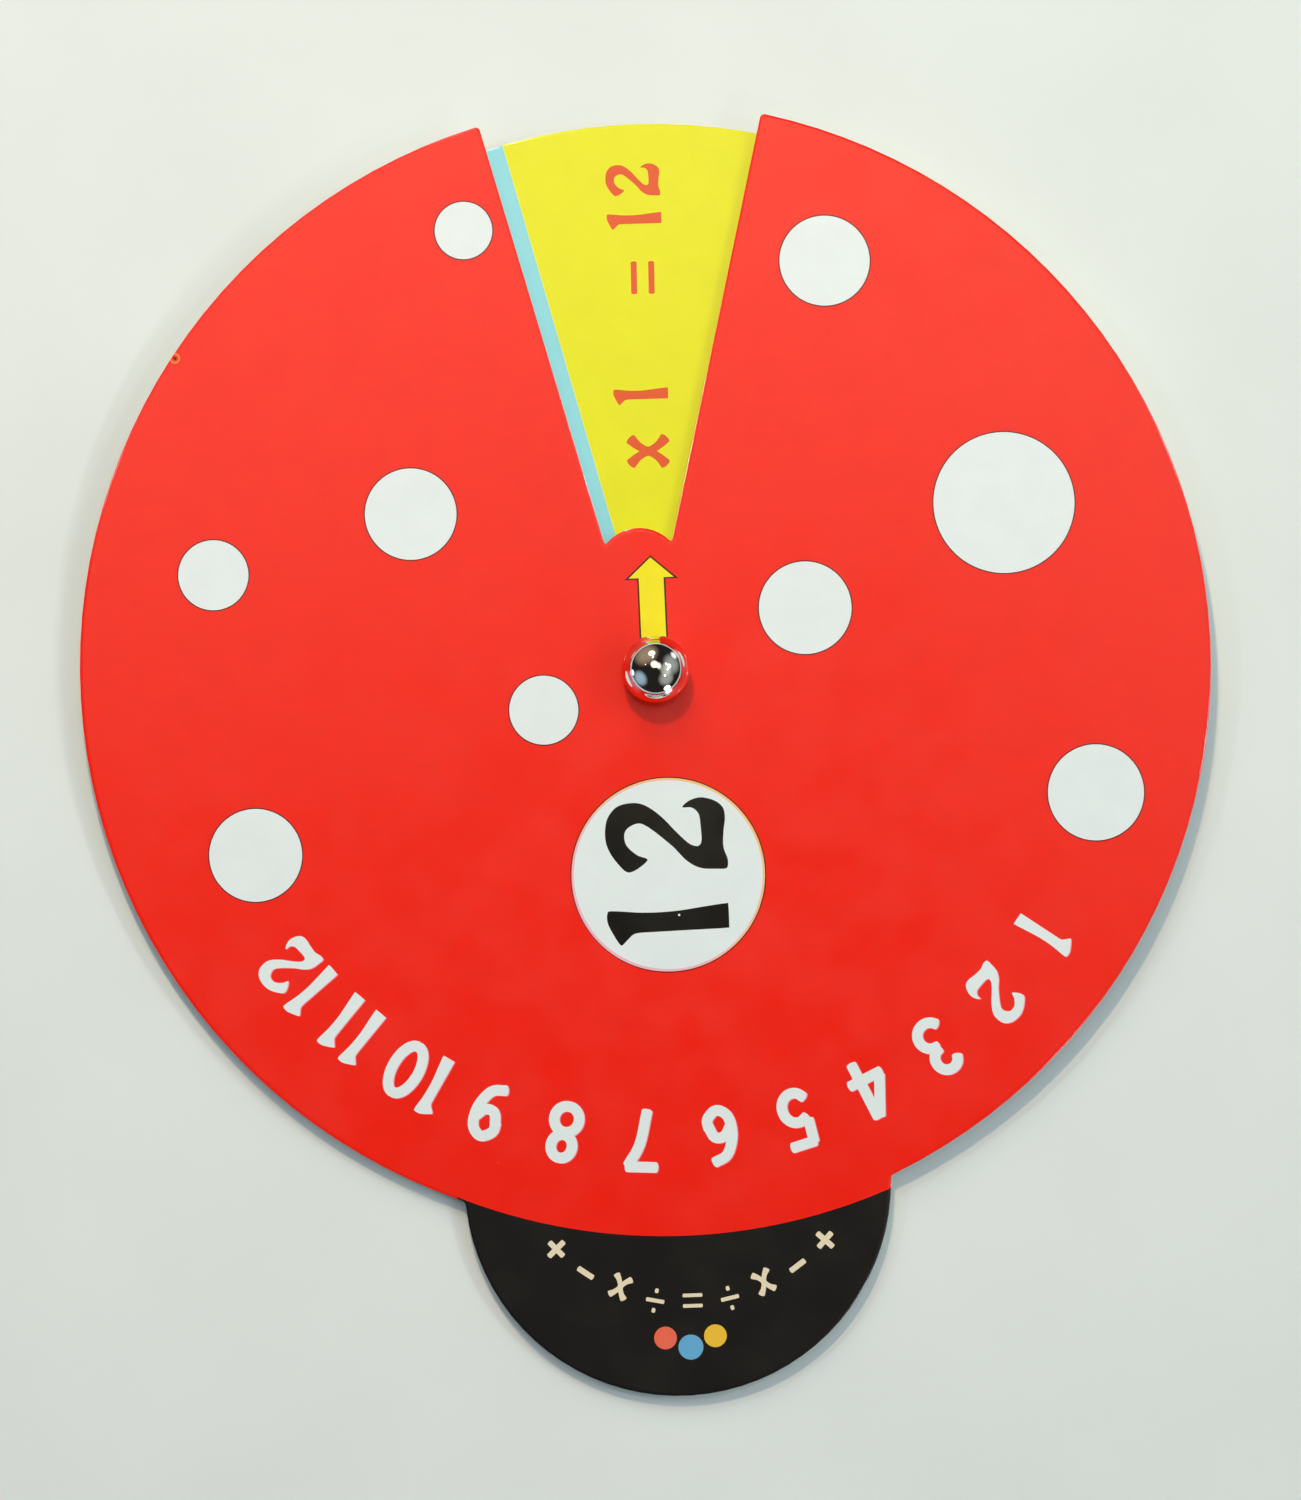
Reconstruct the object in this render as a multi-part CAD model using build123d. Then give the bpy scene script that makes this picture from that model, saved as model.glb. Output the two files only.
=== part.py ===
from build123d import *

import os
from math import cos, radians, sin, sqrt

# Times-table wheel. A round printed board with a handle tab and a wedge-shaped window lies
# over a second, slightly smaller board, the sector wheel. A ball-headed post and the rivet
# pressed into it hold the two together. Wheel and post both turn in their punched holes.
#
# Frame, in millimetres: Z is the pivot axis and points out of the printed face. +Y runs from
# the pivot to the window and the tab points to -Y. z = 0 is the underside of the rivet head.

# Board, the same build-up for both: a liner behind, a grey core and a printed sheet in front
CORE_THICK = 1.2
SHEET_THICK = 0.15
BOARD_THICK = CORE_THICK + 2 * SHEET_THICK

# Front board. Its outline was die-cut a little off the pivot hole and the print.
DISC_RADIUS = 100.0
DIE_CENTRE = (-1.6, 1.2)
TAB_RADIUS = 37.6
TAB_CENTRE_Y = -90.3
TAB_CORNER_RADIUS = 1.2
WINDOW_APEX = (-2.0, -0.7)
WINDOW_ANGLE = 28.5
WINDOW_INNER_RADIUS = 24.0
WINDOW_CROWN_RADIUS = 26.1
WINDOW_CORNER_RADIUS = 0.3
PAST_RIM = 1.2
RIM_CORNER_RADIUS = 0.8

# Wheel
WHEEL_RADIUS = 97.4

# Pivot hardware
POST_RADIUS = 2.5
RUNNING_GAP = 0.08
HOLE_RADIUS = POST_RADIUS + RUNNING_GAP
END_FLOAT = 0.1
BALL_RADIUS = 6.0
SEAT_RADIUS = 3.0
TENON_RADIUS = 1.5
TENON_REACH = 4.0
BORE_RELIEF = 1.0
HEAD_RADIUS = 4.5
HEAD_THICK = 2.0
HEAD_EDGE_RADIUS = 0.8
REAR_WASHER_RADIUS = 7.0
REAR_WASHER_THICK = 0.5
SPACER_RADIUS = 8.0
SPACER_THICK = 0.4
FRONT_WASHER_RADIUS = 4.5
FRONT_WASHER_THICK = 0.4
WASHER_EDGE = 0.1

# Heights of the stack, from the rivet head up
REAR_WASHER_Z = HEAD_THICK
POST_END_Z = REAR_WASHER_Z + REAR_WASHER_THICK
WHEEL_Z = POST_END_Z + END_FLOAT
SPACER_Z = WHEEL_Z + BOARD_THICK + END_FLOAT
FRONT_Z = SPACER_Z + SPACER_THICK + END_FLOAT
FRONT_WASHER_Z = FRONT_Z + BOARD_THICK + END_FLOAT
SEAT_Z = FRONT_WASHER_Z + FRONT_WASHER_THICK
BALL_Z = SEAT_Z + sqrt(BALL_RADIUS**2 - SEAT_RADIUS**2)


def at_angle(radius, degrees):
    """The point at this radius and angle, counter-clockwise from +X."""
    return radius * cos(radians(degrees)), radius * sin(radians(degrees))


def window():
    """Wedge open at the rim, its sides aimed at the apex. The inner end bulges towards the rim."""
    half = WINDOW_ANGLE / 2
    inner_left = at_angle(WINDOW_INNER_RADIUS, 90 + half)
    inner_right = at_angle(WINDOW_INNER_RADIUS, 90 - half)
    outer_left = at_angle(PAST_RIM * DISC_RADIUS, 90 + half)
    outer_right = at_angle(PAST_RIM * DISC_RADIUS, 90 - half)
    sides = Polyline(inner_left, outer_left, outer_right, inner_right)
    crown = ThreePointArc(inner_right, (0, WINDOW_CROWN_RADIUS), inner_left)
    wedge = make_face(sides + crown)
    wedge = fillet(wedge.vertices().sort_by(Axis.Y)[:2], WINDOW_CORNER_RADIUS)
    return Pos(*WINDOW_APEX) * wedge


def front_blank():
    """Disc and tab in one piece, with the window and the pivot hole cut out of it."""
    outline = Pos(*DIE_CENTRE) * Circle(DISC_RADIUS) + Pos(0, TAB_CENTRE_Y) * Circle(TAB_RADIUS)
    blank = extrude(outline, BOARD_THICK)
    tab_corners = blank.edges().filter_by(Axis.Z).sort_by(Axis.Y)[:2]
    blank = fillet(tab_corners, TAB_CORNER_RADIUS)
    blank -= extrude(window(), BOARD_THICK)
    rim_corners = blank.edges().filter_by(Axis.Z).sort_by(Axis.Y)[-2:]
    blank = fillet(rim_corners, RIM_CORNER_RADIUS)
    return blank - extrude(Circle(HOLE_RADIUS), BOARD_THICK)


def wheel_blank():
    """Plain disc, round about the pivot hole."""
    return extrude(Circle(WHEEL_RADIUS) - Circle(HOLE_RADIUS), BOARD_THICK)


def board(name, blank, z):
    """The three layers of one laminated board, from the liner at z up to the printed sheet."""
    outline = Pos(0, 0, -BOARD_THICK) * blank.faces().sort_by(Axis.Z)[-1]
    layers = (
        ("back_liner", SHEET_THICK),
        ("core", CORE_THICK),
        ("print_sheet", SHEET_THICK),
    )
    pieces = {}
    for layer, thick in layers:
        pieces[f"{name}_{layer}"] = Pos(0, 0, z) * extrude(outline, thick)
        z += thick
    return pieces


def washer(radius, bore_radius, z, thick):
    """Flat ring with its two outer edges slightly eased."""
    ring = extrude(Circle(radius), thick)
    ring = chamfer(ring.edges(), WASHER_EDGE)
    ring -= extrude(Circle(bore_radius), thick)
    return Pos(0, 0, z) * ring


def ball_post():
    """Ball cut flat where it sits, and the barrel below it, drilled from its end."""
    ball = Pos(0, 0, BALL_Z) * Sphere(BALL_RADIUS)
    ball -= Pos(0, 0, SEAT_Z - BALL_RADIUS) * extrude(Circle(BALL_RADIUS), BALL_RADIUS)
    barrel = Pos(0, 0, POST_END_Z) * extrude(Circle(POST_RADIUS), BALL_Z - POST_END_Z)
    bore = Pos(0, 0, POST_END_Z) * extrude(Circle(TENON_RADIUS), TENON_REACH + BORE_RELIEF)
    return ball + barrel - bore


def post_rivet():
    """Flat head with a rounded rim, its tenon pressed into the bore of the post."""
    head = extrude(Circle(HEAD_RADIUS), HEAD_THICK)
    head = fillet(head.edges().sort_by(Axis.Z)[:1], HEAD_EDGE_RADIUS)
    tenon_length = POST_END_Z - HEAD_THICK + TENON_REACH
    tenon = Pos(0, 0, HEAD_THICK) * extrude(Circle(TENON_RADIUS), tenon_length)
    return head + tenon


def pieces():
    """Every sub-part by node name."""
    return {
        **board("front", front_blank(), FRONT_Z),
        **board("wheel", wheel_blank(), WHEEL_Z),
        "ball_post": ball_post(),
        "front_washer": washer(FRONT_WASHER_RADIUS, POST_RADIUS, FRONT_WASHER_Z, FRONT_WASHER_THICK),
        "spacer_washer": washer(SPACER_RADIUS, POST_RADIUS, SPACER_Z, SPACER_THICK),
        "rear_washer": washer(REAR_WASHER_RADIUS, TENON_RADIUS, REAR_WASHER_Z, REAR_WASHER_THICK),
        "post_rivet": post_rivet(),
    }


os.makedirs("parts", exist_ok=True)
for node, solid in pieces().items():
    export_step(solid, f"parts/{node}.step")
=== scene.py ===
"""Looks of the times-table wheel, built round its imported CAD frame. Lengths are in mm unless noted."""

from math import cos, pi, radians, sin, sqrt
from random import Random

import bpy
import numpy as np
from mathutils import Matrix, Vector, noise
from mathutils.geometry import delaunay_2d_cdt
from mathutils.kdtree import KDTree


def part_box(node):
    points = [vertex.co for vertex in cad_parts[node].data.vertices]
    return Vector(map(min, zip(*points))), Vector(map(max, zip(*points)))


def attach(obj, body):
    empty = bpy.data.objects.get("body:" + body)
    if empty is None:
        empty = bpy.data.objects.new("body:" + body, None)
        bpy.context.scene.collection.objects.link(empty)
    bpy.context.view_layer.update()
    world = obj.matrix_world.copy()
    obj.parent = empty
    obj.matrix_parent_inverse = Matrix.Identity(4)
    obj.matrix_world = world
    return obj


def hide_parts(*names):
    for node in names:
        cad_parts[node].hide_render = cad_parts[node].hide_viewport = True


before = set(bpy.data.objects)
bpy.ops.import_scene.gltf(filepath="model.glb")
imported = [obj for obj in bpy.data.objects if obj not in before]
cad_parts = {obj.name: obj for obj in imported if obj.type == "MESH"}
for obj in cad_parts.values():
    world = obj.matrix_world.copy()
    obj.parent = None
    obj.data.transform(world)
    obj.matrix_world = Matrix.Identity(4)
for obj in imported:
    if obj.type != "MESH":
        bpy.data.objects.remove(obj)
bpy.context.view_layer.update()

MM = 0.001
# Heights this close, in metres, are level. Points of the artwork this close, in mm, are one.
LEVEL = 1e-5
SAME_POINT = 1e-5
# Asks the triangulation only for the triangles inside the outlines
INSIDE_OUTLINES = 1

# Artwork of the front board, from the pivot, with +Y to the window. Dots are (x, y, radius).
DOTS = (
    (-30.5, 79.5, 5.3),
    (33.2, 71.4, 8.2),
    (63.0, 27.1, 12.7),
    (-42.0, 29.6, 8.3),
    (-77.3, 20.3, 6.4),
    (27.0, 10.0, 8.4),
    (-20.0, -6.1, 6.3),
    (76.9, -24.9, 8.7),
    (-71.9, -29.5, 8.4),
)
DOT_POINTS = 96
TABLE_DOT = (0.7, -36.1, 17.3)
TABLE_DIGITS = (("1", (0.3, -44.9)), ("2", (0.8, -29.0)))
TABLE_DIGIT_HEIGHT = 21.5
TABLE_DIGIT_HEADING = 90
# (ink, shift along x and y, how much smaller than the dot), outermost first
TABLE_DOT_RINGS = (("peach_fringe", 0.0, 0.2), ("pink_fringe", -0.16, 0.36), ("white", 0.0, 0.62))
PRINT_FLECK = (2.3, -43.3, 0.22)
FLECK_POINTS = 7
TRAP = 0.2
RED_DISC = (1.4, -0.3, 99.5)
RED_DISC_POINTS = 240
BLACK_HALF_WIDTH = 39.0
BLACK_TOP = -85.0
BLACK_FOOT = -135.0
NUMERAL_RADIUS = 83.0
NUMERAL_HEIGHT = 11.0
NUMERAL_START = -36.5
NUMERAL_STEP = -9.6
MISREGISTER = (0.16, -0.1)
SIGN_CENTRE = (2.0, -79.3)
SIGN_RADIUS = 32.4
SIGN_HEIGHT = 5.8
SIGN_START = -43.6
SIGN_STEP = -11.75
SIGNS = "+-x/=/x-+"
TAB_DOTS = (("coral", (-3.4, -117.6, 2.0)), ("sky", (1.0, -119.4, 2.2)), ("gold", (5.4, -117.6, 2.0)))
TAB_DOT_POINTS = 40
# Small printed mark of rings as (ink, radius, points), outermost first
RING_MARK = (-82.5, 59.0)
RING_MARK_RINGS = (("orange", 0.95, 24), ("red", 0.62, 20), ("maroon", 0.3, 12))
ARROW = ((-2.2, 5.0), (2.2, 5.0), (2.2, 16.5), (4.0, 16.5), (0, 20.1), (-4.0, 16.5), (-2.2, 16.5))
ARROW_EDGE = ((-2.5, 5.0), (2.5, 5.0), (2.5, 16.25), (4.75, 16.25), (0, 20.5), (-4.75, 16.25), (-2.5, 16.25))

# Artwork of the wheel
SECTORS = 12
FIRST_BISECTOR = 88.65
SECTOR_INKS = (
    "yellow", "leaf", "lilac", "peach", "mint", "sky",
    "yellow", "rose", "leaf", "peach", "lilac", "blue",
)
# How far each sector's ink reaches, as a factor of the wheel's radius, and the steps of its rim
PAST_RIM = 1.1
RIM_STEPS = 6
SUM_HEIGHT = 9.7
SUM_SHIFT = 1.55
# Gap between the characters at unit height, by how many there are
SUM_GAPS = {1: 0.0, 2: 0.3, 3: 0.16}
TIMES_AT = 39.1
FACTOR_AT = 48.9
FACTOR_DIGIT_STEP = 3.3
EQUALS_AT = 70.0
PRODUCT_AT = 84.5
PRODUCT_SHIFT = 2.1

# Gloss film at a cut edge. The rings are lines of corners in from the edge, where it rolls down.
FILM_RINGS = (0.1, 0.22, 0.38, 0.6)
FILM_WIDTH = 0.6
FILM_DROP = 0.11
FILM_POWER = 2
FILM_WAVES = 0.3
FILM_WAVER = 0.1
EDGE_STEP = 0.6

# Grains of dust under the film
GRAIN_RADII = (0.12, 0.26)
GRAIN_HEIGHTS = (0.02, 0.035)
# The seed, then patches of (count, x, y, reach)
FRONT_DUST = (3, (90, 0, 0, 96), (26, -38, 86, 9), (10, 0, 21, 6))
WHEEL_DUST = (5, (60, 0, 0, 94))
PIMPLE_SIDES = 8

# Smoothness and stroke ends of the glyphs
BOWL_STEPS = 8
CURVE_STEPS = 5
CAP_ANGLES = (-60, -30, 0, 30, 60)
CAP_BULGE = 0.4


# ---------------------------------------------------------------- outlines and glyphs


def circle(x, y, radius, points):
    """Corners of a round, counter-clockwise."""
    turns = (2 * pi * i / points for i in range(points))
    return [(x + radius * cos(t), y + radius * sin(t)) for t in turns]


def bowl(x, y, rx, ry, start, end, half):
    """Rows of (x, y, half-width) along part of an ellipse."""
    angles = (radians(start + (end - start) * i / BOWL_STEPS) for i in range(BOWL_STEPS + 1))
    return [(x + rx * cos(a), y + ry * sin(a), half) for a in angles]


def flip(strokes, x, y):
    """The strokes turned half round about a point."""
    return [[(2 * x - px, 2 * y - py, half) for px, py, half in rows] for rows in strokes]


# Half-width of a plain stroke, and the strokes of the digit that also gives the 9
BAR = 0.085
SIX = [
    [(0.44, 0.90, BAR), (0.22, 0.80, BAR), (0.10, 0.50, BAR), (0.13, 0.20, BAR), (0.30, 0.075, BAR),
     (0.46, 0.20, BAR), (0.46, 0.36, BAR)],
    [(0.47, 0.30, BAR), (0.38, 0.50, BAR), (0.22, 0.50, BAR), (0.12, 0.36, BAR)],
]

# Width and strokes of each character at unit height. "x" is the times sign and "/" the division sign.
GLYPHS = {
    "0": (0.58, [bowl(0.29, 0.5, 0.21, 0.42, 90, 270, BAR), bowl(0.29, 0.5, 0.21, 0.42, -90, 90, BAR)]),
    "3": (0.54, [bowl(0.26, 0.73, 0.18, 0.19, 160, -90, BAR), bowl(0.25, 0.29, 0.21, 0.21, 90, -155, BAR)]),
    "4": (0.60, [
        [(0.36, 0.95, BAR), (0.07, 0.36, BAR)],
        [(0.03, 0.32, BAR), (0.58, 0.32, BAR)],
        [(0.40, 0.96, BAR), (0.40, 0.02, BAR)],
    ]),
    "5": (0.56, [
        [(0.12, 0.92, BAR), (0.50, 0.92, BAR)],
        [(0.14, 0.92, BAR), (0.12, 0.56, BAR)],
        bowl(0.27, 0.32, 0.21, 0.24, 130, -150, BAR),
    ]),
    "6": (0.56, SIX),
    "7": (0.56, [
        [(0.05, 0.92, BAR), (0.52, 0.92, BAR)],
        [(0.50, 0.90, BAR), (0.32, 0.55, BAR), (0.22, 0.02, BAR)],
    ]),
    "8": (0.56, [
        bowl(0.28, 0.73, 0.17, 0.19, 90, 270, BAR), bowl(0.28, 0.73, 0.17, 0.19, -90, 90, BAR),
        bowl(0.28, 0.29, 0.20, 0.21, 90, 270, BAR), bowl(0.28, 0.29, 0.20, 0.21, -90, 90, BAR),
    ]),
    "9": (0.56, flip(SIX, 0.28, 0.5)),
    "x": (0.57, [
        [(0.06, 0.70, 0.1), (0.19, 0.56, 0.075), (0.27, 0.38, 0.07), (0.18, 0.20, 0.075), (0.05, 0.07, 0.1)],
        [(0.51, 0.70, 0.1), (0.38, 0.56, 0.075), (0.30, 0.38, 0.07), (0.39, 0.20, 0.075), (0.52, 0.07, 0.1)],
    ]),
    "+": (0.62, [[(0.03, 0.5, BAR), (0.59, 0.5, BAR)], [(0.31, 0.2, BAR), (0.31, 0.8, BAR)]]),
    "-": (0.56, [[(0.03, 0.5, BAR), (0.53, 0.5, BAR)]]),
    "=": (0.60, [[(0.02, 0.58, 0.055), (0.58, 0.58, 0.055)], [(0.02, 0.26, 0.055), (0.58, 0.26, 0.055)]]),
    "/": (0.58, [
        [(0.03, 0.5, 0.06), (0.55, 0.5, 0.06)],
        [(0.26, 0.80, 0.07), (0.32, 0.80, 0.07)],
        [(0.26, 0.20, 0.07), (0.32, 0.20, 0.07)],
    ]),
}

# Width and smooth closed outline of the two digits whose strokes swell and taper
OUTLINED = {
    "1": (0.32, [
        (0.112, 0.015), (0.125, 0.0), (0.30, 0.0), (0.314, 0.015), (0.30, 0.16), (0.268, 0.45),
        (0.266, 0.70), (0.289, 0.95), (0.27, 0.995), (0.19, 0.995), (0.10, 0.955), (0.015, 0.905),
        (0.008, 0.88), (0.055, 0.83), (0.098, 0.765), (0.104, 0.60), (0.108, 0.30),
    ]),
    "2": (0.60, [
        (0.0, 0.82), (0.094, 0.67), (0.14, 0.753), (0.22, 0.835), (0.306, 0.852), (0.365, 0.82),
        (0.40, 0.73), (0.353, 0.635), (0.20, 0.459), (0.082, 0.353), (0.014, 0.24), (0.0, 0.10),
        (0.0, 0.03), (0.024, 0.012), (0.082, 0.012), (0.18, 0.042), (0.31, 0.035), (0.42, 0.019),
        (0.506, 0.035), (0.565, 0.106), (0.593, 0.212), (0.57, 0.306), (0.518, 0.365), (0.512, 0.29),
        (0.46, 0.235), (0.365, 0.222), (0.247, 0.219), (0.203, 0.236), (0.195, 0.27), (0.224, 0.33),
        (0.318, 0.424), (0.447, 0.54), (0.54, 0.66), (0.57, 0.765), (0.545, 0.90), (0.45, 0.985),
        (0.318, 1.01), (0.20, 0.99), (0.08, 0.918),
    ]),
}


def curve_through(rows):
    """Catmull-Rom curve through all rows but the first and last, which only steer its ends."""
    curve = []
    for a, b, c, d in zip(rows, rows[1:], rows[2:], rows[3:]):
        for t in np.arange(CURVE_STEPS) / CURVE_STEPS:
            bend = 2 * a - 5 * b + 4 * c - d + t * (3 * b - a - 3 * c + d)
            curve.append(b + 0.5 * t * (c - a + t * bend))
    return np.array(curve)


def spline(rows):
    """Open curve through the rows."""
    rows = np.array(rows, float)
    steered = np.vstack([2 * rows[0] - rows[1], rows, 2 * rows[-1] - rows[-2]])
    return np.vstack([curve_through(steered), rows[-1]])


def rounded(points):
    """Closed curve through the points."""
    points = np.array(points, float)
    return curve_through(np.vstack([points[-1], points, points[:2]]))


def stroke(rows):
    """Outline of one pen stroke with softly rounded ends, counter-clockwise."""
    line = spline(rows)
    along = np.gradient(line[:, :2], axis=0)
    along /= np.linalg.norm(along, axis=1, keepdims=True)
    side = np.column_stack([-along[:, 1], along[:, 0]]) * line[:, 2:]
    caps = []
    for end, sign in ((-1, 1), (0, -1)):
        reach = sign * CAP_BULGE * along[end] * line[end, 2]
        across = sign * side[end]
        caps.append([line[end, :2] + reach * cos(radians(a)) + across * sin(radians(a)) for a in CAP_ANGLES])
    return np.vstack([line[:, :2] - side, caps[0], (line[:, :2] + side)[::-1], caps[1]])


def glyph(character):
    """Width and outlines of a character at unit height."""
    if character in OUTLINED:
        width, points = OUTLINED[character]
        return width, [rounded(points)]
    width, strokes = GLYPHS[character]
    return width, [stroke(rows) for rows in strokes]


def word(text, height, centre, heading, gap=0.12):
    """Outlines of text centred on a point. Heading is its reading direction, in degrees from +X."""
    glyphs = [glyph(character) for character in text]
    width = sum(advance for advance, _ in glyphs) + gap * (len(text) - 1)
    turn = radians(heading)
    right = np.array([cos(turn), sin(turn)]) * height
    up = np.array([-sin(turn), cos(turn)]) * height
    x = -width / 2
    outlines = []
    for advance, shapes in glyphs:
        for shape in shapes:
            across = np.outer(shape[:, 0] + x, right)
            upward = np.outer(shape[:, 1] - 0.5, up)
            outlines.append(np.array(centre) + across + upward)
        x += advance + gap
    return outlines


def polar(radius, degrees, shift=0.0):
    """The point at a radius and angle from the pivot, shifted to the left of the outward direction."""
    a = radians(degrees)
    return radius * cos(a) - shift * sin(a), radius * sin(a) + shift * cos(a)


# ---------------------------------------------------------------- artwork


def front_artwork_regions():
    """(ink, outline) of everything printed on the front board, lowest first."""
    black = (
        (-BLACK_HALF_WIDTH, BLACK_FOOT),
        (BLACK_HALF_WIDTH, BLACK_FOOT),
        (BLACK_HALF_WIDTH, BLACK_TOP),
        (-BLACK_HALF_WIDTH, BLACK_TOP),
    )
    regions = [("black", black), ("red", circle(*RED_DISC, RED_DISC_POINTS))]
    for x, y, radius in DOTS + (TABLE_DOT,):
        regions.append(("trap", circle(x, y, radius, DOT_POINTS)))
        regions.append(("white", circle(x, y, radius - TRAP, DOT_POINTS)))
    x, y, radius = TABLE_DOT
    for ink, shift, less in TABLE_DOT_RINGS:
        regions.append((ink, circle(x + shift, y + shift, radius - less, DOT_POINTS)))
    for digit, centre in TABLE_DIGITS:
        numeral = word(digit, TABLE_DIGIT_HEIGHT, centre, TABLE_DIGIT_HEADING)
        regions += [("digit_black", outline) for outline in numeral]
    regions.append(("white", circle(*PRINT_FLECK, FLECK_POINTS)))
    for i in range(SECTORS):
        angle = NUMERAL_START + NUMERAL_STEP * i
        numeral = word(str(i + 1), NUMERAL_HEIGHT, polar(NUMERAL_RADIUS, angle), angle - 90)
        regions += [("pink", outline + np.array(MISREGISTER)) for outline in numeral]
        regions += [("white", outline) for outline in numeral]
    for i, sign in enumerate(SIGNS):
        angle = SIGN_START + SIGN_STEP * i
        centre = np.array(SIGN_CENTRE) + np.array(polar(SIGN_RADIUS, angle))
        regions += [("cream", outline) for outline in word(sign, SIGN_HEIGHT, centre, angle - 90)]
    regions += [(ink, circle(*dot, TAB_DOT_POINTS)) for ink, dot in TAB_DOTS]
    regions += [("maroon", ARROW_EDGE), ("arrow_yellow", ARROW)]
    regions += [(ink, circle(*RING_MARK, radius, points)) for ink, radius, points in RING_MARK_RINGS]
    return regions


def wheel_artwork_regions():
    """(ink, outline) of the twelve sectors and their sums, clockwise from the one in the window."""
    regions = []
    span = 360 / SECTORS
    past_rim = PAST_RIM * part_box("wheel_print_sheet")[1].x / MM
    for i, ink in enumerate(SECTOR_INKS):
        bisector = FIRST_BISECTOR - span * i
        rim = [polar(past_rim, bisector - span / 2 + span * j / RIM_STEPS) for j in range(RIM_STEPS + 1)]
        regions.append((ink, [(0, 0)] + rim))
    for i in range(SECTORS):
        bisector = FIRST_BISECTOR - span * i
        factor = str(i + 1)
        factor_at = FACTOR_AT + FACTOR_DIGIT_STEP * (len(factor) - 1)
        parts = (
            ("x", TIMES_AT, SUM_SHIFT),
            (factor, factor_at, SUM_SHIFT),
            ("=", EQUALS_AT, SUM_SHIFT),
            (str(SECTORS * (i + 1)), PRODUCT_AT, PRODUCT_SHIFT),
        )
        for text, radius, shift in parts:
            sign = word(text, SUM_HEIGHT, polar(radius, bisector, shift), bisector, SUM_GAPS[len(text)])
            regions += [("sum_orange", outline) for outline in sign]
    return regions


def border_loops(node):
    """Closed loops round the top face of a CAD sheet, with the sheet always on their left."""
    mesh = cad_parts[node].data
    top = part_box(node)[1].z
    sides = {}
    for polygon in mesh.polygons:
        corners = [mesh.vertices[i].co for i in polygon.vertices]
        if min(c.z for c in corners) > top - LEVEL:
            flat = [(round(c.x / MM, 3), round(c.y / MM, 3)) for c in corners]
            sides.update({(a, b): True for a, b in zip(flat, flat[1:] + flat[:1])})
    border = {a: b for a, b in sides if (b, a) not in sides}
    loops = []
    while border:
        start, point = border.popitem()
        loop = [start]
        while point != start:
            loop.append(point)
            point = border.pop(point)
        loops.append(np.array(loop))
    return loops


def resampled(loop):
    """The loop with its long sides cut to even short steps."""
    points = []
    for a, b in zip(loop, np.roll(loop, -1, axis=0)):
        steps = max(1, round(np.linalg.norm(b - a) / EDGE_STEP))
        points += [a + (b - a) * i / steps for i in range(steps)]
    return np.array(points)


def inset(loop, distance):
    """The loop moved inwards, to its left."""
    along = np.roll(loop, -1, axis=0) - np.roll(loop, 1, axis=0)
    along /= np.linalg.norm(along, axis=1, keepdims=True)
    return loop + distance * np.column_stack([-along[:, 1], along[:, 0]])


def area(outline):
    """Signed area, positive where the outline runs counter-clockwise."""
    x, y = np.array(outline).T
    return 0.5 * float(np.dot(x, np.roll(y, -1)) - np.dot(y, np.roll(x, -1)))


def dust_pimples(seed, *patches):
    """(x, y, radius, height) of dust grains caught under the film, in (count, x, y, reach) patches."""
    random = Random(seed)
    pimples = []
    for count, centre_x, centre_y, reach in patches:
        for _ in range(count):
            x, y = polar(reach * sqrt(random.random()), random.uniform(0, 360))
            radius, height = random.uniform(*GRAIN_RADII), random.uniform(*GRAIN_HEIGHTS)
            pimples.append((centre_x + x, centre_y + y, radius, height))
    return pimples


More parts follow.
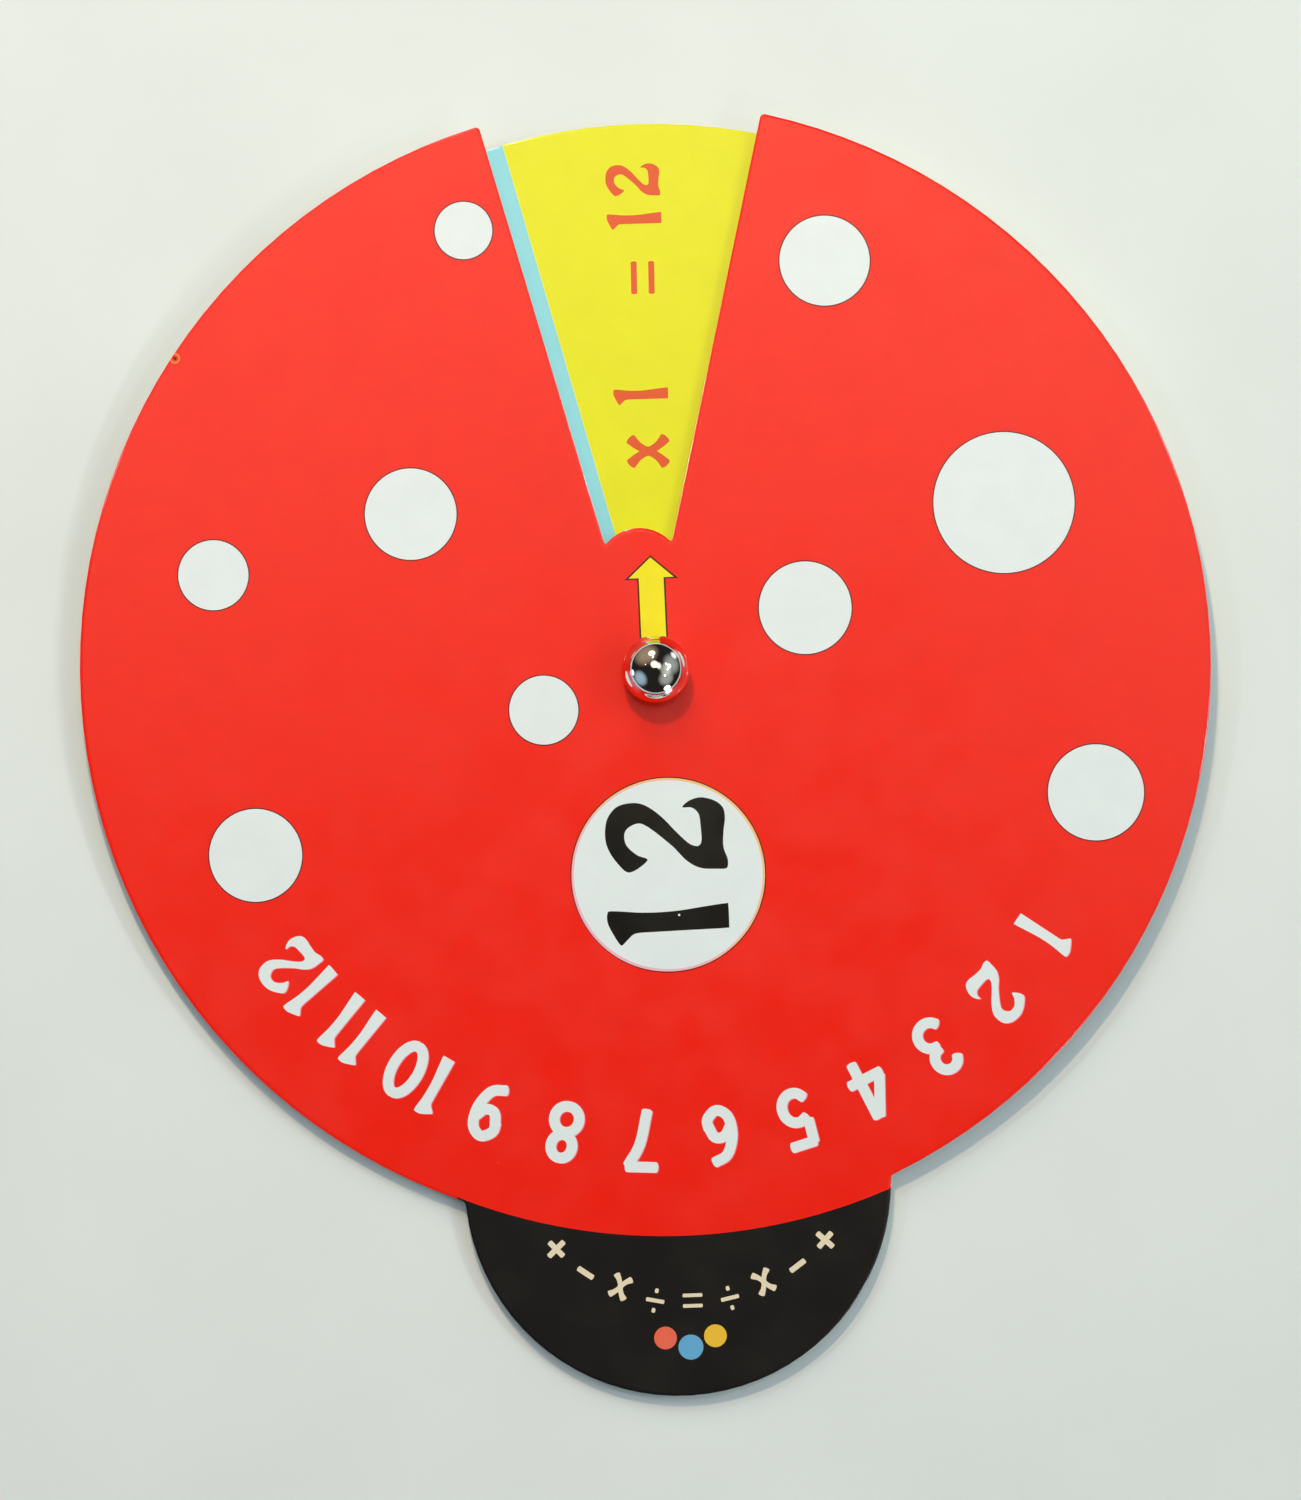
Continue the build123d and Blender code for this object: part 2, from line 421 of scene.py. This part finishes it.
class Sheet:
    """A printed and filmed sheet, triangulated along every line of its artwork."""

    def __init__(self, node, regions, pimples):
        self.low, self.high = (corner.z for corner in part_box(node))
        self.loops = [resampled(loop) for loop in border_loops(node)]
        self.regions = regions
        self.pimples = pimples
        self.pimple_height = max(height for *_, height in pimples)
        self.points, self.faces, self.edges, self.inks = [], [], [], []
        self.rim_tree = self.tree([tuple(p) for loop in self.loops for p in loop])
        self.pimple_tree = self.tree([(x, y) for x, y, _, _ in pimples])

    @staticmethod
    def tree(points):
        """Search tree of flat points."""
        tree = KDTree(len(points))
        for i, (x, y) in enumerate(points):
            tree.insert((x, y, 0), i)
        tree.balance()
        return tree

    def add_outline(self, outline, ink=None, filled=True):
        """Puts one outline in the triangulation, as a region or only as lines."""
        outline = [(float(x), float(y)) for x, y in outline]
        if area(outline) < 0:
            outline.reverse()
        first = len(self.points)
        self.points += outline
        ids = list(range(first, first + len(outline)))
        if filled:
            self.faces.append(ids)
            self.inks.append(ink)
        else:
            self.edges += list(zip(ids, ids[1:] + ids[:1]))

    def relief(self, x, y):
        """Height of the film, in mm below the sheet's top. It rolls down to the cut edge."""
        distance = self.rim_tree.find((x, y, 0))[2]
        waver = 1 - FILM_WAVER + FILM_WAVER * noise.noise(Vector((x, y, 0)) * FILM_WAVES)
        drop = FILM_DROP * waver * max(0.0, 1 - distance / (FILM_WIDTH * waver)) ** FILM_POWER
        drop += self.pimple_height - self.pimple_rise(x, y)
        return drop

    def pimple_rise(self, x, y):
        """How far the nearest dust grain lifts the film here."""
        _, index, distance = self.pimple_tree.find((x, y, 0))
        radius, height = self.pimples[index][2:]
        return height * max(0.0, 1 - (distance / radius) ** 2)

    def lay_out(self, base_ink):
        """Adds every outline. Returns the numbers of the board's own regions and of its holes."""
        for loop in self.loops:
            if area(loop) > 0:
                self.add_outline(loop, base_ink)
        board = set(range(len(self.faces)))
        for loop in self.loops:
            if area(loop) < 0:
                self.add_outline(loop)
        holes = set(range(len(self.faces))) - board
        for ink, outline in self.regions:
            self.add_outline(outline, ink)
        for loop in self.loops:
            for distance in FILM_RINGS:
                self.add_outline(inset(loop, distance), filled=False)
        for x, y, radius, _ in self.pimples:
            self.add_outline(circle(x, y, radius, PIMPLE_SIDES), filled=False)
            self.add_outline(circle(x, y, radius / 2, PIMPLE_SIDES), filled=False)
        return board, holes

    def mesh(self, name, base_ink):
        """The triangulated sheet with its side walls, and one material per ink."""
        board, holes = self.lay_out(base_ink)
        points = [Vector(p) for p in self.points]
        flat, _, triangles, _, _, owners = delaunay_2d_cdt(
            points, self.edges, self.faces, INSIDE_OUTLINES, SAME_POINT)
        kept, kept_inks = [], []
        for triangle, owner in zip(triangles, owners):
            if board & set(owner) and not holes & set(owner):
                kept.append(list(triangle))
                # The outline laid last is printed on top
                kept_inks.append(self.inks[max(owner)])
        used = sorted({i for triangle in kept for i in triangle})
        renumbered = {old: new for new, old in enumerate(used)}
        kept = [[renumbered[i] for i in triangle] for triangle in kept]
        corners = [(flat[i].x * MM, flat[i].y * MM, self.high - MM * self.relief(*flat[i])) for i in used]
        self.add_walls(corners, kept, kept_inks)
        names = sorted(set(kept_inks))
        mesh = bpy.data.meshes.new(name)
        mesh.from_pydata(corners, [], kept)
        for ink in names:
            mesh.materials.append(MATERIALS[ink])
        mesh.polygons.foreach_set("material_index", [names.index(ink) for ink in kept_inks])
        mesh.polygons.foreach_set("use_smooth", [self.is_curved(face, corners) for face in kept])
        mesh.update()
        return mesh

    @staticmethod
    def is_curved(face, corners):
        """True for a triangle of the film's rolled edge or of a dust grain, and not for a wall."""
        return len(face) == 3 and len({round(corners[i][2] / MM, 4) for i in face}) > 1

    def add_walls(self, corners, faces, inks):
        """Cut edge of the sheet, from the film down to the core."""
        for loop in self.loops:
            first = len(corners)
            count = len(loop)
            for x, y in loop:
                corners.append((x * MM, y * MM, self.high - MM * self.relief(x, y)))
                corners.append((x * MM, y * MM, self.low))
            for i in range(count):
                j = (i + 1) % count
                faces.append([first + 2 * i + 1, first + 2 * j + 1, first + 2 * j, first + 2 * i])
                inks.append("cut_paper")


def add_piece(name, mesh, node, body):
    """A visual piece that stands for a CAD node."""
    piece = bpy.data.objects.new(name, mesh)
    bpy.context.scene.collection.objects.link(piece)
    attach(piece, body)
    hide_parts(node)


# ---------------------------------------------------------------- materials

# Most of a noise texture's values fall between these two
NOISE_LOW = 0.3
NOISE_HIGH = 0.7
# How much the fine specks of the print add to its mottle
SPECK_SHARE = 0.35


class Surface:
    """A material under construction: its shader, and short ways to feed it."""

    def __init__(self, name, **constants):
        self.material = bpy.data.materials.new(name)
        self.material.use_nodes = True
        self.tree = self.material.node_tree
        self.shader = self.tree.nodes["Principled BSDF"]
        self.place = self.tree.nodes.new("ShaderNodeTexCoord").outputs["Object"]
        for socket, value in constants.items():
            self.shader.inputs[socket.replace("_", " ")].default_value = value

    def node(self, kind, **settings):
        """A node with its properties set."""
        made = self.tree.nodes.new(kind)
        for setting, value in settings.items():
            setattr(made, setting, value)
        return made

    def noise(self, size, detail=4.0, stretch=(1, 1, 1)):
        """Noise whose features are about size mm across, stretched along the axes."""
        scaling = self.node("ShaderNodeMapping")
        scaling.inputs["Scale"].default_value = tuple(1 / (MM * size * s) for s in stretch)
        self.tree.links.new(self.place, scaling.inputs["Vector"])
        texture = self.node("ShaderNodeTexNoise")
        texture.inputs["Scale"].default_value = 1.0
        texture.inputs["Detail"].default_value = detail
        self.tree.links.new(scaling.outputs["Vector"], texture.inputs["Vector"])
        return texture.outputs["Fac"]

    def ramp(self, source, *stops):
        """Colour ramp from (position, colour) stops."""
        made = self.node("ShaderNodeValToRGB")
        elements = made.color_ramp.elements
        for element, (position, colour) in zip(elements, (stops[0], stops[-1])):
            element.position, element.color = position, colour
        for position, colour in stops[1:-1]:
            elements.new(position).color = colour
        self.tree.links.new(source, made.inputs["Fac"])
        return made.outputs["Color"]

    def spread(self, source, low, high):
        """Noise mapped to the range low to high."""
        made = self.node("ShaderNodeMapRange")
        made.inputs["From Min"].default_value = NOISE_LOW
        made.inputs["From Max"].default_value = NOISE_HIGH
        made.inputs["To Min"].default_value = low
        made.inputs["To Max"].default_value = high
        self.tree.links.new(source, made.inputs["Value"])
        return made.outputs["Result"]

    def feed(self, socket, source):
        """Links a value to a socket of the shader."""
        self.tree.links.new(source, self.shader.inputs[socket])

    def bump(self, *layers):
        """Stacks (source, depth in mm) layers of relief."""
        previous = None
        for source, depth in layers:
            made = self.node("ShaderNodeBump")
            made.inputs["Distance"].default_value = depth * MM
            self.tree.links.new(source, made.inputs["Height"])
            if previous:
                self.tree.links.new(previous, made.inputs["Normal"])
            previous = made.outputs["Normal"]
        self.feed("Normal", previous)


def shade(colour, factor):
    """The colour made lighter or darker, opaque."""
    return tuple(min(1.0, c * factor) for c in colour) + (1.0,)


def linear(r, g, b):
    """Linear colour of an sRGB one, given in 0 to 255."""
    return tuple(((c / 255 + 0.055) / 1.055) ** 2.4 for c in (r, g, b))


def printed(name, colour):
    """Offset ink on paper under gloss film: faint mottle, the paper's tooth and the film's slow waves."""
    surface = Surface(name, Roughness=0.42, Coat_Weight=0.8, Coat_Roughness=0.13, Specular_IOR_Level=0.08)
    mottle = surface.noise(6.0)
    speck = surface.noise(0.35, 2.0)
    both = surface.node("ShaderNodeMath", operation="MULTIPLY_ADD")
    both.inputs[1].default_value = SPECK_SHARE
    surface.tree.links.new(speck, both.inputs[0])
    surface.tree.links.new(mottle, both.inputs[2])
    tones = surface.ramp(both.outputs[0], (0.35, shade(colour, 0.97)), (1.0, shade(colour, 1.03)))
    surface.feed("Base Color", tones)
    surface.feed("Coat Roughness", surface.spread(surface.noise(9.0), 0.09, 0.2))
    surface.bump((surface.noise(1.3, 2.0), 0.012), (surface.noise(22.0, 2.0), 0.12))
    return surface.material


def paper(name, colour, fibre, tooth):
    """Uncoated paper or board. Its fibres lie in its plane. Their size and the tooth's depth are in mm."""
    surface = Surface(name, Roughness=0.85, Specular_IOR_Level=0.25)
    fibres = surface.noise(fibre, 5.0, (3.0, 1.0, 0.25))
    tones = surface.ramp(
        fibres, (0.3, shade(colour, 0.78)), (0.5, shade(colour, 1.0)), (0.72, shade(colour, 1.13)))
    surface.feed("Base Color", tones)
    surface.feed("Roughness", surface.spread(surface.noise(5.0), 0.74, 0.95))
    surface.bump((surface.noise(fibre * 0.6, 3.0), tooth), (surface.noise(14.0, 2.0), tooth * 2))
    return surface.material


def metal(name, colour, low, high, scratch, stretch):
    """Polished or brushed metal, its roughness from low to high and its scratches stretched along axes."""
    surface = Surface(name, Metallic=1.0)
    haze = surface.noise(2.2, 5.0)
    tones = surface.ramp(haze, (NOISE_LOW, shade(colour, 0.9)), (NOISE_HIGH, shade(colour, 1.04)))
    surface.feed("Base Color", tones)
    surface.feed("Roughness", surface.spread(haze, low, high))
    surface.bump((surface.noise(0.5, 3.0, stretch), scratch))
    return surface.material


# sRGB colours of the print, from 0 to 255
INKS = {
    "red": (248, 33, 8),
    "black": (27, 26, 25),
    "digit_black": (13, 13, 12),
    "white": (231, 245, 246),
    "pink": (240, 150, 170),
    "peach_fringe": (250, 206, 130),
    "pink_fringe": (244, 190, 206),
    "cream": (238, 228, 196),
    "maroon": (66, 8, 8),
    "trap": (84, 8, 6),
    "orange": (240, 130, 50),
    "arrow_yellow": (246, 235, 6),
    "coral": (240, 112, 84),
    "gold": (244, 198, 60),
    "sky": (104, 178, 222),
    "yellow": (233, 235, 6),
    "blue": (146, 222, 234),
    "leaf": (150, 208, 110),
    "lilac": (196, 176, 226),
    "peach": (248, 192, 140),
    "mint": (164, 226, 190),
    "rose": (244, 168, 190),
    "sum_orange": (228, 88, 36),
}

# (look, sRGB colour, fibre size and tooth depth in mm)
PAPERS = (
    ("cut_paper", (226, 208, 196), 0.3, 0.02),
    ("liner", (236, 232, 220), 0.8, 0.02),
    ("greyboard", (176, 168, 152), 0.4, 0.04),
)

# (look, name, linear colour, lowest and highest roughness, depth in mm and stretch of the scratches)
METALS = (
    ("chrome", "mirror_chrome", (0.86, 0.86, 0.88), 0.015, 0.06, 0.0006, (1, 1, 1)),
    ("rivet", "satin_nickel", (0.68, 0.66, 0.62), 0.22, 0.38, 0.006, (6, 1, 1)),
    ("washer", "brushed_nickel", (0.62, 0.61, 0.58), 0.25, 0.42, 0.008, (1, 6, 1)),
)

MATERIALS = {name: printed(f"ink_{name}", linear(*colour)) for name, colour in INKS.items()}
for look, colour, fibre, tooth in PAPERS:
    MATERIALS[look] = paper(look, linear(*colour), fibre, tooth)
for look, *recipe in METALS:
    MATERIALS[look] = metal(*recipe)

CAD_LOOKS = {
    "front_core": "greyboard",
    "wheel_core": "greyboard",
    "front_back_liner": "liner",
    "wheel_back_liner": "liner",
    "ball_post": "chrome",
    "post_rivet": "rivet",
    "front_washer": "washer",
    "spacer_washer": "washer",
    "rear_washer": "washer",
}


def dress_cad_nodes():
    """Gives each CAD node that stays its finish, through the slots of its object."""
    for node, look in CAD_LOOKS.items():
        for material_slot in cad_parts[node].material_slots:
            material_slot.link = "OBJECT"
            material_slot.material = MATERIALS[look]


# ---------------------------------------------------------------- stage, light and camera


# Azimuth that the part leans towards, and how far the table reaches each way, in metres
LEAN = -120
TABLE_REACH = 2.0
TABLE_CLEARANCE = 0.02
RIVET_HEAD_EDGE = 0.8
TABLE_COLOUR = (228, 239, 237)


def table():
    """Pale table. The part leans on it with its rivet head and the wheel's lower rim."""
    lean = radians(LEAN)
    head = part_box("post_rivet")[1].x - RIVET_HEAD_EDGE * MM
    rim_low, rim_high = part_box("wheel_back_liner")
    slope = rim_low.z / (rim_high.x - head)
    corners = []
    for side_x, side_y in ((-1, -1), (1, -1), (1, 1), (-1, 1)):
        x, y = side_x * TABLE_REACH, side_y * TABLE_REACH
        corners.append((x, y, slope * (x * cos(lean) + y * sin(lean) - head) - TABLE_CLEARANCE * MM))
    mesh = bpy.data.meshes.new("table")
    mesh.from_pydata(corners, [], [(0, 1, 2, 3)])
    surface = Surface("table_paint", Specular_IOR_Level=0.2)
    colour = linear(*TABLE_COLOUR)
    clouds = surface.noise(40.0)
    tones = surface.ramp(clouds, (NOISE_LOW, shade(colour, 0.98)), (NOISE_HIGH, shade(colour, 1.02)))
    surface.feed("Base Color", tones)
    surface.feed("Roughness", surface.spread(surface.noise(3.0), 0.6, 0.75))
    surface.bump((surface.noise(0.7, 3.0), 0.01))
    mesh.materials.append(surface.material)
    top = bpy.data.objects.new("table", mesh)
    bpy.context.scene.collection.objects.link(top)


def lamp(name, azimuth, elevation, distance, size, watts, colour, glossy=False):
    """Area light that faces the pivot, in metres. Gloss mirrors only the lamps marked glossy."""
    data = bpy.data.lights.new(name, "AREA")
    data.shape = "RECTANGLE"
    data.size, data.size_y = size
    data.energy = watts
    data.color = colour
    light = bpy.data.objects.new(name, data)
    a, e = radians(azimuth), radians(elevation)
    flat = distance * cos(e)
    light.location = (flat * cos(a), flat * sin(a), distance * sin(e))
    light.rotation_euler = (-light.location).to_track_quat("-Z", "Y").to_euler()
    light.visible_glossy = glossy
    light.visible_camera = False
    bpy.context.scene.collection.objects.link(light)


def toward(azimuth, zenith):
    """Unit vector at an azimuth counter-clockwise from +X and an angle from straight up."""
    a, z = radians(azimuth), radians(zenith)
    return cos(a) * sin(z), sin(a) * sin(z), cos(z)


ROOM_DARK = (0.018, 0.016, 0.013, 1.0)
# Bright things in the dim room that the gloss film and the ball mirror:
# (azimuth, zenith angle, inner and outer radius in degrees, linear colour)
ROOM = (
    (102, 55, 3, 12, (3.4, 3.0, 2.2)),
    (122, 62, 0, 44, (0.36, 0.26, 0.16)),
    (108, 15, 0, 15, (2.2, 1.9, 1.4)),
    (50, 14, 0, 12, (1.0, 0.95, 0.72)),
    (20, 12, 0, 10, (0.7, 0.7, 0.55)),
    (9, 47, 3, 8, (2.4, 2.6, 2.7)),
    (14, 58, 0, 36, (0.34, 0.36, 0.32)),
    (-8, 34, 0, 24, (0.40, 0.43, 0.34)),
    (-45, 50, 0, 30, (0.36, 0.38, 0.34)),
    (-61, 82, 5, 10, (7.0, 7.6, 8.0)),
    (209, 66, 0, 28, (0.34, 0.48, 0.58)),
    (186, 88, 4, 9, (2.2, 2.4, 2.6)),
    (35, 82, 4, 12, (1.0, 1.1, 1.0)),
)

# Lamps that gloss doesn't mirror: (name, azimuth, elevation, distance and size in metres, watts, colour)
LAMPS = (
    ("ceiling", 95, 72, 1.3, (1.6, 1.6), 4.1, (0.08, 0.30, 1.0)),
    ("key", 101, 64, 0.7, (0.03, 0.03), 1.7, (1.0, 0.72, 0.40)),
    ("top_window", 88, 42, 0.58, (0.7, 0.4), 0.7, (0.94, 0.98, 0.86)),
)

# Small lamps that gloss does mirror: (azimuth, elevation, watts), with the distance and size in metres
GLINT_LAMPS = ((101, 51, 0.7), (24, 52, 0.5), (-6, 49, 0.5), (-41, 50, 0.35), (154, 53, 0.45))
GLINT_DISTANCE = 1.0
GLINT_SIZE = (0.012, 0.012)
GLINT_COLOUR = (0.92, 0.96, 0.98)


def room():
    """World of the dim room, with its bright things as soft spots."""
    world = bpy.data.worlds.new("room")
    world.use_nodes = True
    tree = world.node_tree
    direction = tree.nodes.new("ShaderNodeTexCoord").outputs["Generated"]
    total = None
    for azimuth, zenith, inner, outer, colour in ROOM:
        dot = tree.nodes.new("ShaderNodeVectorMath")
        dot.operation = "DOT_PRODUCT"
        dot.inputs[1].default_value = toward(azimuth, zenith)
        tree.links.new(direction, dot.inputs[0])
        spot = tree.nodes.new("ShaderNodeMapRange")
        spot.interpolation_type = "SMOOTHSTEP"
        spot.inputs["From Min"].default_value = cos(radians(outer))
        spot.inputs["From Max"].default_value = cos(radians(inner))
        tree.links.new(dot.outputs["Value"], spot.inputs["Value"])
        add = tree.nodes.new("ShaderNodeMixRGB")
        add.blend_type = "ADD"
        add.inputs["Color1"].default_value = ROOM_DARK
        add.inputs["Color2"].default_value = colour + (1.0,)
        tree.links.new(spot.outputs["Result"], add.inputs["Fac"])
        if total:
            tree.links.new(total, add.inputs["Color1"])
        total = add.outputs["Color"]
    tree.links.new(total, tree.nodes["Background"].inputs["Color"])
    bpy.context.scene.world = world


def light_up():
    """The room, the lamps that light the table and the print, and the small ones that gloss mirrors."""
    room()
    for settings in LAMPS:
        lamp(*settings)
    for azimuth, elevation, watts in GLINT_LAMPS:
        name = f"glint_{azimuth}"
        lamp(name, azimuth, elevation, GLINT_DISTANCE, GLINT_SIZE, watts, GLINT_COLOUR, glossy=True)


# The camera's place and the point it looks at, and the direction that is up in its picture
LENS = 148.5
SENSOR_HEIGHT = 36.0
CAMERA_PLACE = (-14.82, -52.2, 1098.8)
CAMERA_AIM = (-1.39, -13.75, 0)
CAMERA_UP = (0.0442, 0.999, 0)


def camera():
    """Long lens almost straight above, turned a little."""
    data = bpy.data.cameras.new("camera")
    data.sensor_fit = "VERTICAL"
    data.sensor_height = SENSOR_HEIGHT
    data.lens = LENS
    eye = bpy.data.objects.new("camera", data)
    place = Vector(CAMERA_PLACE) * MM
    forward = (Vector(CAMERA_AIM) * MM - place).normalized()
    right = forward.cross(Vector(CAMERA_UP)).normalized()
    up = right.cross(forward)
    eye.matrix_world = Matrix.Translation(place) @ Matrix((right, up, -forward)).transposed().to_4x4()
    bpy.context.scene.collection.objects.link(eye)
    bpy.context.scene.camera = eye


# ---------------------------------------------------------------- build

front = Sheet("front_print_sheet", front_artwork_regions(), dust_pimples(*FRONT_DUST))
front_mesh = front.mesh("front_artwork", "red")
add_piece("front_artwork", front_mesh, "front_print_sheet", "front_board")
wheel = Sheet("wheel_print_sheet", wheel_artwork_regions(), dust_pimples(*WHEEL_DUST))
wheel_mesh = wheel.mesh("wheel_artwork", "yellow")
add_piece("wheel_artwork", wheel_mesh, "wheel_print_sheet", "wheel")
dress_cad_nodes()
table()
light_up()
camera()
bpy.context.scene.view_settings.view_transform = "Standard"
